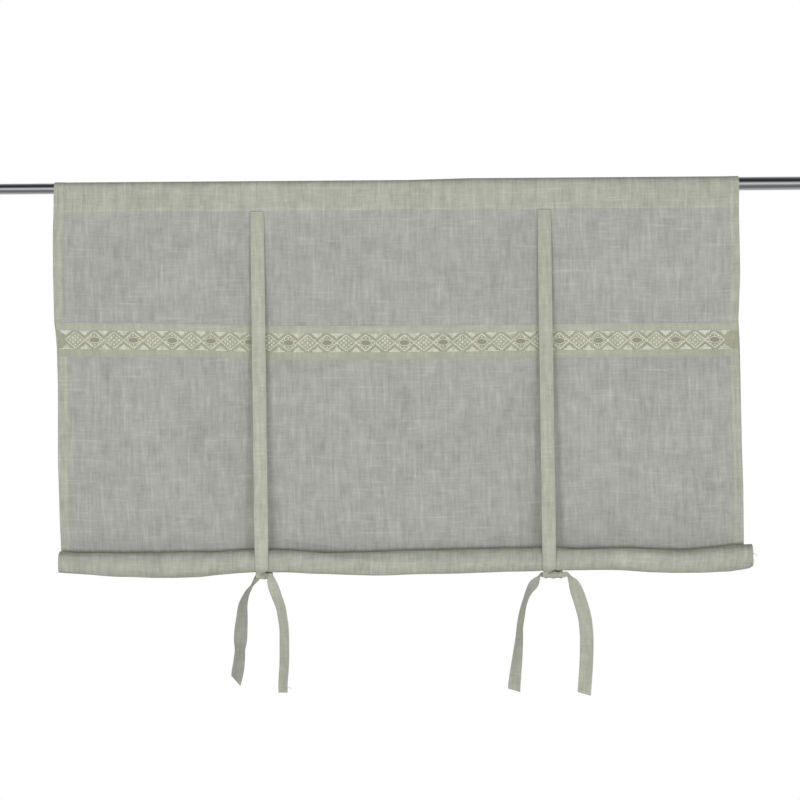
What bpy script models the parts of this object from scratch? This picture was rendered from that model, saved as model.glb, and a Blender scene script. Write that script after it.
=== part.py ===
"""Tie-up curtain: a linen-look cloth with a band of lace sewn on its front, rolled up from below and held by two
pairs of tapes tied under the roll, hanging by its sewn pocket on a telescopic rod.

Frame: origin on the rod's axis at the middle of the curtain, X along the rod, Z up, the front faces -Y. Metres.
"""
import math
import bpy
import bmesh
import numpy as np
from mathutils import Vector

for old in list(bpy.data.objects):
    bpy.data.objects.remove(old)

# Driving dimensions
WIDTH = 1.000             # the curtain's top edge
DROP = 0.547              # from the rod's axis to the roll's axis
LACE_DROP = 0.227         # from the rod's axis to the middle of the lace
CLOTH = 0.0005            # one layer of cloth
DOUBLE = 2 * CLOTH        # a hem is two layers
HEM = 0.015               # width of the side hems
GAP = 0.0003              # air between pieces that touch
WALL = 0.0008             # wall of both tubes
INNER_R = 0.008           # thin tube of the rod
INNER_BORE = INNER_R - WALL
OUTER_R = 0.010           # thick tube of the rod
OUTER_BORE = OUTER_R - WALL
MOUTH_BORE = INNER_R + GAP  # the thick tube is necked in at its mouth to guide the thin one
MOUTH = 0.012             # length of that neck
ROD_HALF = 0.600          # rod ends at -0.600 and +0.600
OVERLAP_FROM = 0.108      # the thick tube starts here
OVERLAP_TO = 0.308        # the thin tube ends here, inside the thick one
SEAM_Z = -0.035           # stitched line of the pocket
ROLL_R = 0.01825          # outermost turn of the roll, to the middle of the cloth
ROLL_CORE = 0.0030
TURNS = 9
LACE_HALF = 0.014         # half the height of the openwork
MARGIN = 0.011            # plain woven margin above and below it
LACE = 0.0006             # thickness of the lace
TAPE_HALF = 0.0100        # half the width of a tie
TAPE = 0.0009             # thickness of a tie, folded and stitched
KNOT_R = 0.0029           # how far each bunched strand runs from the knot's axis
BUNCH_A = 0.0026          # half width of a bunched tape
BUNCH_B = 0.0019          # half thickness of a bunched tape

# Lines that the hanging cloth follows: how far the lace and the roll stand above their mean height, at
# fractions of the width, and how far each side edge stands outside its place at the top, at fractions of the drop
LACE_LINE = ((0.0, 0.0064), (0.21, 0.0034), (0.31, -0.0005), (0.5, -0.0020), (0.72, -0.0006), (1.0, -0.0005))
ROLL_LINE = ((0.0, 0.0033), (0.076, -0.0018), (0.15, -0.0044), (0.23, -0.0002), (0.30, 0.0022),
             (0.355, 0.0004), (0.464, -0.0042), (0.574, -0.0027), (0.718, 0.0006), (0.823, 0.0040),
             (0.911, -0.0017), (1.0, 0.0028))
LEFT_OUT = ((-0.953, -0.0024), (-0.886, -0.0012), (-0.726, 0.0003), (-0.53, -0.0010), (-0.43, -0.0002),
            (-0.39, 0.0010), (-0.36, 0.0032), (-0.22, 0.0042), (-0.11, 0.0036), (0.02, 0.0))
RIGHT_OUT = ((-0.95, 0.0070), (-0.81, 0.0064), (-0.71, 0.0046), (-0.43, 0.0018), (-0.365, -0.0002),
             (-0.24, 0.0026), (0.02, 0.0))
ROLL_LEFT_OUT = -0.0026   # the rolled turns wander out past the panel's edges
ROLL_RIGHT_OUT = 0.0165
PLY = 0.0007              # each ply of the pocket is this far from the middle plane at the seam


def on_line(value, line):
    knots, levels = zip(*line)
    return float(np.interp(value, knots, levels))


def lace_z(x):
    return on_line(x / WIDTH + 0.5, LACE_LINE) - LACE_DROP


def roll_z(x):
    return on_line(x / WIDTH + 0.5, ROLL_LINE) - DROP


def edge_x(u, z):
    left = -WIDTH / 2 - on_line(z / DROP, LEFT_OUT)
    return left + u * (WIDTH / 2 + on_line(z / DROP, RIGHT_OUT) - left)


def panel_y(z):
    """The panel leans back from the seam until it is tangent to the back of the roll."""
    t = (SEAM_Z - z) / (SEAM_Z + DROP)
    return -PLY + t * (ROLL_R + PLY)


def pocket_radius(x):
    """Middle of the cloth where it lies over the rod, clear of the tube under a double hem."""
    r = np.interp(x, (OVERLAP_FROM - 0.012, OVERLAP_FROM - 0.003), (INNER_R, OUTER_R))
    return float(r) + 1.6 * GAP + DOUBLE / 2


# Materials and collections
part = bpy.data.collections.new("tie_up_curtain")
tools = bpy.data.collections.new("cutters")
for group in (part, tools):
    bpy.context.scene.collection.children.link(group)


def material(name, colour, roughness, metallic=0.0):
    m = bpy.data.materials.new(name)
    m.use_nodes = True
    shader = m.node_tree.nodes["Principled BSDF"]
    shader.inputs["Base Color"].default_value = (*colour, 1.0)
    shader.inputs["Roughness"].default_value = roughness
    shader.inputs["Metallic"].default_value = metallic
    m.diffuse_color = (*colour, 1.0)
    return m


def add(bm, name, mat, group=part):
    bmesh.ops.recalc_face_normals(bm, faces=bm.faces)
    mesh = bpy.data.meshes.new(name)
    bm.to_mesh(mesh)
    bm.free()
    obj = bpy.data.objects.new(name, mesh)
    group.objects.link(obj)
    if mat:
        mesh.materials.append(mat)
    return obj


# Rod: two tubes and two plugs, each a lathed profile
def lathed(name, profile, mat):
    """Turn a closed (x, radius) profile about the X axis."""
    bm = bmesh.new()
    ring = [bm.verts.new((x, r, 0)) for x, r in profile]
    edges = [bm.edges.new((ring[i], ring[(i + 1) % len(ring)])) for i in range(len(ring))]
    bmesh.ops.spin(bm, geom=ring + edges, cent=(0, 0, 0), axis=(1, 0, 0), angle=2 * math.pi, steps=28,
                   use_merge=True)
    bmesh.ops.remove_doubles(bm, verts=bm.verts, dist=1e-6)
    obj = add(bm, name, mat)
    for face in obj.data.polygons:
        face.use_smooth = abs(face.normal.x) < 0.5
    return obj


def tube(name, x0, x1, radius, bore, mouth, mat):
    """A tube from x0 to x1; mouth is its bore at x0."""
    c = 0.0004
    profile = [(x0, mouth), (x0, radius - c), (x0 + c, radius), (x1 - c, radius), (x1, radius - c), (x1, bore)]
    if mouth != bore:
        profile += [(x0 + MOUTH + 2 * WALL, bore), (x0 + MOUTH, mouth)]
    return lathed(name, profile, mat)


def plug(name, end, side, radius, bore, mat):
    """Flat head against the tube's end and a stem inside its bore; side is -1 at the left end, +1 at the right."""
    stem_r = bore - GAP
    core = 0.0008
    profile = [(-0.012, core), (-0.012, stem_r), (GAP, stem_r), (GAP, radius), (0.0035, radius),
               (0.0045, radius - 0.001), (0.0045, core)]
    bm = bmesh.new()
    ring = [(end + side * x, r) for x, r in profile]
    steps = 28
    loops = []
    for x, r in ring[1:-1]:
        loops.append([bm.verts.new((x, r * math.cos(a), r * math.sin(a)))
                      for a in (2 * math.pi * i / steps for i in range(steps))])
    for a, b in zip(loops, loops[1:]):
        for i in range(steps):
            j = (i + 1) % steps
            bm.faces.new((a[i], a[j], b[j], b[i]))
    bm.faces.new(loops[0])
    bm.faces.new(loops[-1])
    return add(bm, name, mat)


chrome = material("chrome", (0.62, 0.63, 0.65), 0.16, 1.0)
steel = material("steel", (0.56, 0.57, 0.59), 0.24, 1.0)
plastic = material("plug_plastic", (0.52, 0.53, 0.54), 0.45)
tube("rod_outer_tube", OVERLAP_FROM, ROD_HALF, OUTER_R, OUTER_BORE, MOUTH_BORE, chrome)
tube("rod_inner_tube", -ROD_HALF, OVERLAP_TO, INNER_R, INNER_BORE, INNER_BORE, steel)
plug("rod_end_plug_left", -ROD_HALF, -1, INNER_R, INNER_BORE, plastic)
plug("rod_end_plug_right", ROD_HALF, 1, OUTER_R, OUTER_BORE, plastic)


# Cloth: a flat grid placed by a function of its column and row, given thickness by Solidify
def sheet(name, columns, rows, place, doubled, mat):
    bm = bmesh.new()
    bmesh.ops.create_grid(bm, x_segments=len(columns) - 1, y_segments=len(rows) - 1, size=0.5)
    layers = []
    for v in bm.verts:
        i = round((v.co.x + 0.5) * (len(columns) - 1))
        j = round((v.co.y + 0.5) * (len(rows) - 1))
        v.co = place(columns[i], rows[j])
        layers.append(doubled(i, j))
    obj = add(bm, name, mat)
    group = obj.vertex_groups.new(name="double_layer")
    group.add([k for k, two in enumerate(layers) if two], 1.0, "REPLACE")
    solid = obj.modifiers.new("thickness", "SOLIDIFY")
    solid.thickness = DOUBLE
    solid.offset = 0
    solid.use_even_offset = True
    solid.vertex_group = group.name
    solid.thickness_vertex_group = CLOTH / DOUBLE
    for face in obj.data.polygons:
        face.use_smooth = True
    return obj


cloth = material("cloth", (0.42, 0.44, 0.38), 0.9)

# Columns are fractions of the width; each hem has its edge, its stitched line and the single cloth beside it
hem_u = HEM / WIDTH
left_hem = (0, hem_u - 0.0004, hem_u)
right_hem = (1 - hem_u, 1 - hem_u + 0.0004, 1)
step_u = OVERLAP_FROM / WIDTH + 0.5
COLUMNS = (*left_hem, 0.145, 0.22, 0.30, 0.38, 0.48, step_u - 0.012, step_u - 0.003, 0.72, 0.82, 0.91, *right_hem)

# Rows run from the back of the pocket, over the rod, down the front and the panel, behind the roll and inwards
ARC_STEPS = 9
OUTER_TURNS = 4
COARSE, FINE = 9, 14      # steps in each inner and each outer turn
turn_steps = [i / FINE for i in range(OUTER_TURNS * FINE + 1)]
turn_steps += [OUTER_TURNS + (i + 1) / COARSE for i in range((TURNS - OUTER_TURNS) * COARSE)]
ROWS = ([("back", t) for t in (0, 0.08, 0.5)] + [("arc", i / ARC_STEPS) for i in range(ARC_STEPS + 1)]
        + [("front", t) for t in (0.5, 1)] + [("panel", t) for t in (0.02, 0.25, 0.5, 0.75, 0.95)]
        + [("roll", t) for t in turn_steps])


def pocket_point(u, kind, t):
    r = pocket_radius(edge_x(u, 0))
    reach = math.atan2(PLY, -SEAM_Z) + math.acos(r / math.hypot(PLY, SEAM_Z))
    side = 1 if kind == "back" else -1
    touch = Vector((0, side * r * math.sin(reach), -r * math.cos(reach)))
    seam = Vector((0, side * PLY, SEAM_Z))
    if kind == "back":
        p = seam.lerp(touch, t)
    elif kind == "front":
        p = touch.lerp(seam, t)
    else:
        angle = reach + t * 2 * (math.pi - reach)
        p = Vector((0, r * math.sin(angle), -r * math.cos(angle)))
    return Vector((edge_x(u, p.z), p.y, p.z))


def cloth_point(u, row):
    """One point of the cloth's mid surface; a roll row's t counts turns from the back of the roll."""
    kind, t = row
    if kind in ("back", "arc", "front"):
        return pocket_point(u, kind, t)
    centre = roll_z(edge_x(u, -DROP))
    if kind == "panel":
        z = SEAM_Z + t * (centre - SEAM_Z)
        return Vector((edge_x(u, z), panel_y(z), z))
    r = ROLL_R - t * (ROLL_R - ROLL_CORE) / TURNS
    angle = -2 * math.pi * t
    out = min(1.0, 2 * t)
    back_in = 0.004 * t / TURNS
    left = -WIDTH / 2 - (1 - out) * on_line(-1, LEFT_OUT) - out * (ROLL_LEFT_OUT - back_in)
    right = WIDTH / 2 + (1 - out) * on_line(-1, RIGHT_OUT) + out * (ROLL_RIGHT_OUT - back_in)
    return Vector((left + u * (right - left), r * math.cos(angle), centre + r * math.sin(angle)))


last = len(COLUMNS) - 1
sheet("curtain_cloth", COLUMNS, ROWS, cloth_point, lambda i, j: i < 2 or i > last - 2, cloth)

# Lace: a strip sewn on the front of the cloth, pierced by a repeat of an eye, a net and their side gaps
LACE_COLUMNS = np.linspace(0.002, 0.998, 19)
LACE_ROWS = (-1, 1)
IN_FRONT = DOUBLE / 2 + GAP + LACE / 2
REPEAT = 0.0567           # from one eye to the next
FIRST_EYE = 0.0563        # from the left edge
lace_thread = material("lace_thread", (0.50, 0.51, 0.38), 0.8)


def lace_point(u, side):
    z = lace_z(edge_x(u, -LACE_DROP)) + side * (LACE_HALF + MARGIN)
    return Vector((edge_x(u, z), panel_y(z) - IN_FRONT, z))


lace = sheet("lace_band", LACE_COLUMNS, LACE_ROWS, lace_point, lambda i, j: False, lace_thread)
lace.modifiers["thickness"].vertex_group = ""
lace.modifiers["thickness"].thickness = LACE

# Each gap is (height, half width, half height); eyes and nets take turns along the strip
EYE_GAPS = ((0, 0.0055, 0.0034), (0.0100, 0.0068, 0.0026), (-0.0100, 0.0068, 0.0026))
NET_GAPS = ((0, 0.0046, 0.0046), (0.0100, 0.0068, 0.0026), (-0.0100, 0.0068, 0.0026))
bm = bmesh.new()
for half in range(-1, math.floor(2 * (WIDTH - 2 * HEM - FIRST_EYE) / REPEAT) + 1):
    x = -WIDTH / 2 + FIRST_EYE + half * REPEAT / 2
    for up, half_w, half_h in NET_GAPS if half % 2 else EYE_GAPS:
        z = lace_z(x) + up
        ring = bmesh.ops.create_circle(bm, segments=4, radius=1)["verts"]
        for v in ring:
            v.co = Vector((x + v.co.x * half_w, 0, z + v.co.y * half_h))
        face = bm.faces.new(ring)
        face.normal_update()
        made = bmesh.ops.extrude_face_region(bm, geom=[face])["geom"]
        for v in made:
            if isinstance(v, bmesh.types.BMVert):
                v.co.y = 0.03
        for v in ring:
            v.co.y = -0.02
cutter = add(bm, "lace_gaps", None, tools)
cutter.hide_render = True
cutter.display_type = "WIRE"
pierce = lace.modifiers.new("gaps", "BOOLEAN")
pierce.operation = "DIFFERENCE"
pierce.solver = "EXACT"
pierce.object = cutter


# Ties: a tape's section is lofted along rows of (point, facing, half width, half thickness)
def section(centre, facing, tangent, half_w, half_t):
    """Eight points of a flat or bunched tape; facing is the direction that its front looks in."""
    across = tangent.cross(facing).normalized()
    front = across.cross(tangent).normalized()
    points = []
    for k in range(8):
        a = math.radians(22.5 + 45 * k)
        c = math.copysign(abs(math.cos(a)) ** 0.4, math.cos(a))
        s = math.copysign(abs(math.sin(a)) ** 0.4, math.sin(a))
        points.append(centre + across * (half_w * c) + front * (half_t * s))
    return points


def tape(name, rows, mat):
    centres = [Vector(r[0]) for r in rows]
    bm = bmesh.new()
    loops = []
    for i, (_, facing, half_w, half_t) in enumerate(rows):
        ahead = centres[min(i + 1, len(rows) - 1)]
        behind = centres[max(i - 1, 0)]
        tangent = (ahead - behind).normalized()
        loops.append([bm.verts.new(p) for p in section(centres[i], Vector(facing), tangent, half_w, half_t)])
    for a, b in zip(loops, loops[1:]):
        for i in range(8):
            j = (i + 1) % 8
            bm.faces.new((a[i], a[j], b[j], b[i]))
    bm.faces.new(loops[0])
    bm.faces.new(loops[-1])
    obj = add(bm, name, mat)
    for face in obj.data.polygons:
        face.use_smooth = len(face.vertices) == 4
    return obj


def eased(keys, per_gap):
    """Catmull-Rom through key rows, all of their numbers together."""
    k = np.array([[*p, *f, a, b] for p, f, a, b in keys])
    k = np.vstack([2 * k[0] - k[1], k, 2 * k[-1] - k[-2]])
    rows = []
    for i in range(1, len(k) - 2):
        for t in np.arange(per_gap) / per_gap:
            q = 0.5 * (2 * k[i] + (k[i + 1] - k[i - 1]) * t
                       + (2 * k[i - 1] - 5 * k[i] + 4 * k[i + 1] - k[i + 2]) * t ** 2
                       + (3 * k[i] - 3 * k[i + 1] + k[i + 2] - k[i - 1]) * t ** 3)
            rows.append((q[:3], q[3:6], q[6], q[7]))
    rows.append((k[-2][:3], k[-2][3:6], k[-2][6], k[-2][7]))
    return rows


def turned(degrees):
    """Facing of a tail turned about the vertical; 0 looks to the front."""
    a = math.radians(degrees)
    return (math.sin(a), -math.cos(a), 0)


def down_and_under(side, x_top, x_roll, x_knot):
    """Rows from the seam to the underside of the roll; side is -1 for the front tie and +1 for the back one."""
    z_roll = roll_z(x_roll)
    rest = ROLL_R + CLOTH / 2 + 2 * GAP
    near = 0.0020 if side < 0 else 0.0022
    rows = []
    for t in (0, 0.01, 0.3, 0.65, 0.9):
        y = near + t * (rest + TAPE / 2 - near)
        x = x_top + t * (x_roll - x_top)
        rows.append(((x, side * y, SEAM_Z + t * (z_roll - SEAM_Z)), (0, side, 0), TAPE_HALF, TAPE / 2))
    for degrees, pinch in ((0, 0), (14, 0.05), (28, 0.25), (42, 0.6), (54, 0.88), (66, 1)):
        a = math.radians(degrees)
        half_w = TAPE_HALF + pinch * (BUNCH_A - TAPE_HALF)
        half_t = TAPE / 2 + pinch * (BUNCH_B - TAPE / 2)
        r = rest + half_t
        x = x_roll + pinch * 0.85 * (x_knot - x_roll)
        rows.append(((x, side * r * math.cos(a), z_roll - r * math.sin(a)), (0, side * math.cos(a), -math.sin(a)),
                     half_w, half_t))
    return rows


def knot_rows(side, x_mid, half_length, y_mid, z_mid):
    """One full turn round the knot's axis; the front strand runs left to right, the back one right to left."""
    rows = []
    for t in np.linspace(0, 1, 13):
        turn = 2 * math.pi * t
        y, z = side * math.cos(turn), side * math.sin(turn)
        rows.append(((x_mid + half_length * (2 * t - 1), y_mid + KNOT_R * y, z_mid + KNOT_R * z), (0, y, z),
                     BUNCH_A, BUNCH_B))
    return rows if side < 0 else rows[::-1]


webbing = material("tie_tape", (0.47, 0.48, 0.40), 0.9)
KNOT_Y = -0.002
KNOT_DROP = ROLL_R + CLOTH / 2 + 2 * GAP + KNOT_R + BUNCH_B + 0.001
FLAT = TAPE / 2
WIDE = TAPE_HALF
# For each place: x at the seam, at the roll and at the knot as fractions of the width, half the knot's length, then
# the keys of its right and left tails as (x, y, z from the knot, degrees turned, half width, half thickness)
PLACES = {
    "left": (-0.2045, -0.2005, -0.1975, 0.0090,
             ((0.0112, -0.0072, -0.0085, -6, 0.7 * WIDE, 2 * FLAT), (0.0178, -0.0070, -0.0274, -38, WIDE, FLAT),
              (0.0236, -0.0085, -0.0433, -41, WIDE, FLAT), (0.0266, -0.0095, -0.0592, -45, WIDE, FLAT),
              (0.0288, -0.0105, -0.0751, -48, WIDE, FLAT), (0.0291, -0.0110, -0.0950, -48, WIDE, FLAT),
              (0.0286, -0.0110, -0.1260, -50, WIDE, FLAT), (0.0267, -0.0105, -0.1544, -60, WIDE, FLAT),
              (0.0265, -0.0100, -0.1690, -64, WIDE, FLAT)),
             ((-0.0170, 0.0035, -0.0110, 66, 0.45 * WIDE, 2 * FLAT),
              (-0.0238, 0.0050, -0.0205, 62, 0.7 * WIDE, 1.5 * FLAT),
              (-0.0280, 0.0060, -0.0290, 56, 0.9 * WIDE, FLAT), (-0.0323, 0.0058, -0.0429, 42, WIDE, FLAT),
              (-0.0336, 0.0050, -0.0600, 32, WIDE, FLAT), (-0.0350, 0.0042, -0.0760, 20, WIDE, FLAT),
              (-0.0358, 0.0036, -0.0904, 14, WIDE, FLAT), (-0.0366, 0.0028, -0.1063, 42, WIDE, FLAT),
              (-0.0379, 0.0022, -0.1222, 36, WIDE, FLAT), (-0.0401, 0.0016, -0.1380, 30, WIDE, FLAT),
              (-0.0430, 0.0010, -0.1526, 38, WIDE, FLAT))),
    "right": (0.2157, 0.2185, 0.2256, 0.0125,
              ((0.0195, -0.0060, 0.0018, -66, 0.4 * WIDE, 2.2 * FLAT),
               (0.0245, -0.0065, -0.0046, -57, 0.7 * WIDE, 1.6 * FLAT), (0.0296, -0.0075, -0.0131, -41, WIDE, FLAT),
               (0.0353, -0.0090, -0.0290, -14, WIDE, FLAT), (0.0404, -0.0100, -0.0450, -6, WIDE, FLAT),
               (0.0443, -0.0105, -0.0609, -4, WIDE, FLAT), (0.0461, -0.0105, -0.0767, 0, WIDE, FLAT),
               (0.0470, -0.0105, -0.0926, 0, WIDE, FLAT), (0.0463, -0.0105, -0.1244, -4, WIDE, FLAT),
               (0.0446, -0.0103, -0.1481, -4, WIDE, FLAT), (0.0428, -0.0100, -0.1726, -2, WIDE, FLAT)),
              ((-0.0190, 0.0030, 0.0005, 66, 0.35 * WIDE, 2.2 * FLAT),
               (-0.0238, 0.0040, -0.0050, 50, 0.65 * WIDE, 1.6 * FLAT), (-0.0288, 0.0048, -0.0127, 44, WIDE, FLAT),
               (-0.0363, 0.0056, -0.0245, 58, WIDE, FLAT), (-0.0412, 0.0058, -0.0364, 64, WIDE, FLAT),
               (-0.0447, 0.0056, -0.0480, 62, WIDE, FLAT), (-0.0470, 0.0052, -0.0602, 58, WIDE, FLAT),
               (-0.0497, 0.0045, -0.0760, 58, WIDE, FLAT), (-0.0508, 0.0040, -0.0919, 52, WIDE, FLAT),
               (-0.0542, 0.0032, -0.1236, 36, WIDE, FLAT), (-0.0580, 0.0024, -0.1553, 22, WIDE, FLAT),
               (-0.0589, 0.0020, -0.1680, 20, WIDE, FLAT))),
}
for place_name, (u_top, u_roll, u_knot, half_length, right_tail, left_tail) in PLACES.items():
    x_top, x_roll, x_knot = u_top * WIDTH, u_roll * WIDTH, u_knot * WIDTH
    z_knot = roll_z(x_roll) - KNOT_DROP
    for side, tail, label in ((-1, right_tail, "front"), (1, left_tail, "back")):
        rows = down_and_under(side, x_top, x_roll, x_knot + side * half_length)
        wound = knot_rows(side, x_knot, half_length, KNOT_Y, z_knot)
        keys = [wound[-1]] + [((x_knot + x, KNOT_Y + y, z_knot + z), turned(deg), a, b)
                              for x, y, z, deg, a, b in tail]
        tape(f"{label}_tie_{place_name}", rows + wound + eased(keys, 4)[1:], webbing)
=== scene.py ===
# %% [markdown]
# # A tie-up curtain, step by step
# A short linen-look curtain hangs from a thin telescopic rod. A band of lace is sewn across its front,
# its lower part is rolled up, and two pairs of tapes, tied under the roll, hold it. The frame below holds
# plain solids in the right places and sizes. This script dresses them: every soft piece is made again
# with its folds, threads and stitches, and every piece gets its own finish. The places could be guessed
# from a picture, but reading the frame keeps each new piece exactly where its solid is.

import math
import bpy
import bmesh
import numpy as np
from mathutils import Matrix, Vector, noise


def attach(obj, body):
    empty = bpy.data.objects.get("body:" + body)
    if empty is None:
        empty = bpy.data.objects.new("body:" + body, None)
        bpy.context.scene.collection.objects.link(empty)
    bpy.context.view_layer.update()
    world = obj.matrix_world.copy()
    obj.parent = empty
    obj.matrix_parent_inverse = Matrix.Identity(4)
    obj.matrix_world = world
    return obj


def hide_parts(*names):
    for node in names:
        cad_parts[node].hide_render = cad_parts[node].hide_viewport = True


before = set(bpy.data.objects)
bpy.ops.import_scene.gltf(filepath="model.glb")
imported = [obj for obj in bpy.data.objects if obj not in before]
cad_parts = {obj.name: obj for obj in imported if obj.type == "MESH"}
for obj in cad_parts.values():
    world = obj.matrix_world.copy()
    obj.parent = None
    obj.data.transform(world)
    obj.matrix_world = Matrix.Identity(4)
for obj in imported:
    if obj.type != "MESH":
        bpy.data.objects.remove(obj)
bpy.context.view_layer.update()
CLOTH_BODY = "curtain_and_outer_tube"
THIN_TUBE_BODY = "inner_tube"
print("frame nodes:", sorted(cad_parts))

# %% [markdown]
# ## The curtain's measures
# The same few numbers place every piece. They could be read off each solid's box, but the hang of the
# cloth, such as its slightly bent roll, is a line rather than a number. So the measures are written once
# here, in metres, and the lines as short tables of points: a share of the width or drop, then mm.

# %% Measures
WIDTH = 1.000             # top edge
DROP = 0.547              # rod's axis to roll's axis
LACE_DROP = 0.227         # rod's axis to the middle of the lace
CLOTH = 0.0005            # one layer
DOUBLE = 2 * CLOTH
HEM = 0.015
GAP = 0.0003              # air between pieces that touch
INNER_R, OUTER_R, WALL = 0.008, 0.010, 0.0008
ROD_HALF, OVERLAP_FROM, OVERLAP_TO = 0.600, 0.108, 0.308
MOUTH = 0.012             # necked end of the thick tube
SEAM_Z = -0.035           # stitched line of the pocket
PLY = 0.0007              # half the distance between the pocket's layers at the seam
ROLL_R, ROLL_CORE, TURNS = 0.01825, 0.0030, 9
ROLL_LEFT_OUT, ROLL_RIGHT_OUT = -0.0026, 0.0165     # how far the roll's ends stand out
LACE_HALF, MARGIN, LACE_CLOTH = 0.014, 0.011, 0.0004
REPEAT, FIRST_EYE = 0.0567, 0.0563                  # of the lace's pattern
TAPE_HALF, TAPE = 0.0100, 0.0009
KNOT_R, BUNCH = 0.0029, 0.0019                      # radius of a tape's turn, half a bunch's thickness

LACE_LINE = ((0, 6.4), (0.21, 3.4), (0.31, -0.5), (0.5, -2), (0.72, -0.6), (1, -0.5))
ROLL_LINE = ((0, 3.3), (0.076, -1.8), (0.15, -4.4), (0.23, -0.2), (0.3, 2.2), (0.355, 0.4), (0.464, -4.2),
             (0.574, -2.7), (0.718, 0.6), (0.823, 4), (0.911, -1.7), (1, 2.8))
LEFT_OUT = ((-0.953, -2.4), (-0.886, -1.2), (-0.726, 0.3), (-0.53, -1), (-0.43, -0.2), (-0.39, 1),
            (-0.36, 3.2), (-0.22, 4.2), (-0.11, 3.6), (0.02, 0))
RIGHT_OUT = ((-0.95, 7), (-0.81, 6.4), (-0.71, 4.6), (-0.43, 1.8), (-0.365, -0.2), (-0.24, 2.6),
             (0.02, 0))


def on_line(value, line):
    """Height of a line, in metres, at a value between its points."""
    knots, levels = zip(*line)
    return float(np.interp(value, knots, levels)) / 1000


def smooth_line(value, line, reach=0.022):
    """The same line with its corners eased, because hanging cloth has none."""
    return sum(on_line(value + k * reach, line) for k in (-1, -0.5, 0, 0.5, 1)) / 5


def lace_z(x):
    return smooth_line(x / WIDTH + 0.5, LACE_LINE) - LACE_DROP


def roll_z(x):
    return smooth_line(x / WIDTH + 0.5, ROLL_LINE) - DROP


def edge_x(u, z):
    """Place across the curtain at a height: u is 0 at its left edge and 1 at its right."""
    left = -WIDTH / 2 - on_line(z / DROP, LEFT_OUT)
    return left + u * (WIDTH / 2 + on_line(z / DROP, RIGHT_OUT) - left)


def panel_y(z):
    """The panel leans back from the pocket's seam to the back of the roll."""
    t = (SEAM_Z - z) / (SEAM_Z + DROP)
    return -PLY + t * (ROLL_R + PLY)


def step(value, low, high):
    """0 below low, 1 above high and an S-shaped slope between them."""
    t = min(1.0, max(0.0, (value - low) / (high - low)))
    return t * t * (3 - 2 * t)


print("mm below the rod: lace", round(-1000 * lace_z(0)), "and roll", round(-1000 * roll_z(0)))

# %% [markdown]
# ## Camera, light and floor
# A product photograph of a curtain is taken from straight in front with a long lens. The lens here gives
# the same width of view at 3.5 m, and the camera is rolled by under half a degree, as the photograph's
# rod shows. One large lamp would be simpler, but the photograph has soft light from all round. So the
# light is a level white world, dimmer overhead, with two lamps low in front, left and right of the
# camera: the tapes drop a narrow shadow on both sides, and the tops of pocket and roll are darker. The
# backdrop is the world's own white, which only the camera sees. Polished tube shows whatever stands round
# it, so its rays meet the darker ceiling and floor of a studio.

# %% Camera
def linked(name, data):
    """An object with this data, in the scene."""
    obj = bpy.data.objects.new(name, data)
    bpy.context.scene.collection.objects.link(obj)
    return obj


VIEW_WIDTH, DISTANCE, SENSOR = 1.1712, 3.5, 36.0
ROLL_OF_CAMERA = math.radians(0.4247)
camera_data = bpy.data.cameras.new("camera")
camera_data.sensor_width = SENSOR
camera_data.lens = SENSOR * DISTANCE / VIEW_WIDTH
camera = linked("camera", camera_data)
camera.location = (0.0028, -DISTANCE, -0.3129)
camera.rotation_euler = (math.pi / 2, ROLL_OF_CAMERA, 0)
bpy.context.scene.camera = camera
bpy.context.scene.view_settings.view_transform = "Standard"
print("lens in mm:", round(camera_data.lens, 1))


# %% [markdown]
# ## A little language for materials
# A finish is a graph of nodes. It could be wired up by hand, but a sum of two masks then takes five
# lines. Here a small class wraps a socket, so that + - * / write Math nodes, and one method adds any
# other node.

# %% Wires and finishes
class Wire:
    """A value on its way through a node tree."""

    def __init__(self, tree, socket):
        self.tree, self.socket = tree, socket

    def math(self, operation, *others):
        """This value, and others where the operation takes more, through a Math node."""
        sockets = dict(enumerate((self, *others)))
        return add_node(self.tree, "ShaderNodeMath", {"operation": operation}, sockets)

    def __add__(self, other):
        return self.math("ADD", other)

    def __sub__(self, other):
        return self.math("SUBTRACT", other)

    def __rsub__(self, other):
        return add_node(self.tree, "ShaderNodeMath", {"operation": "SUBTRACT"}, {0: other, 1: self})

    def __mul__(self, other):
        return self.math("MULTIPLY", other)

    def __truediv__(self, other):
        return self.math("DIVIDE", other)

    __radd__ = __add__
    __rmul__ = __mul__

    def clamped(self, low, high):
        """0 at low and 1 at high, with an even slope between them."""
        sockets = {0: self, 1: low, 2: high, 3: 0.0, 4: 1.0}
        return add_node(self.tree, "ShaderNodeMapRange", {"clamp": True}, sockets)


def add_node(tree, kind, settings=None, sockets=None, output=0):
    """Add a node with its settings and the values or wires of its sockets, by name or number."""
    node = tree.nodes.new(kind)
    for key, value in (settings or {}).items():
        if key == "stops":
            ramp = node.color_ramp
            while len(ramp.elements) < len(value):
                ramp.elements.new(1.0)
            for element, (position, level) in zip(ramp.elements, value):
                element.position = position
                element.color = (level, level, level, 1.0)
        else:
            setattr(node, key, value)
    for key, value in (sockets or {}).items():
        if isinstance(value, Wire):
            tree.links.new(value.socket, node.inputs[key])
        else:
            node.inputs[key].default_value = value
    return Wire(tree, node.outputs[output])


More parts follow.
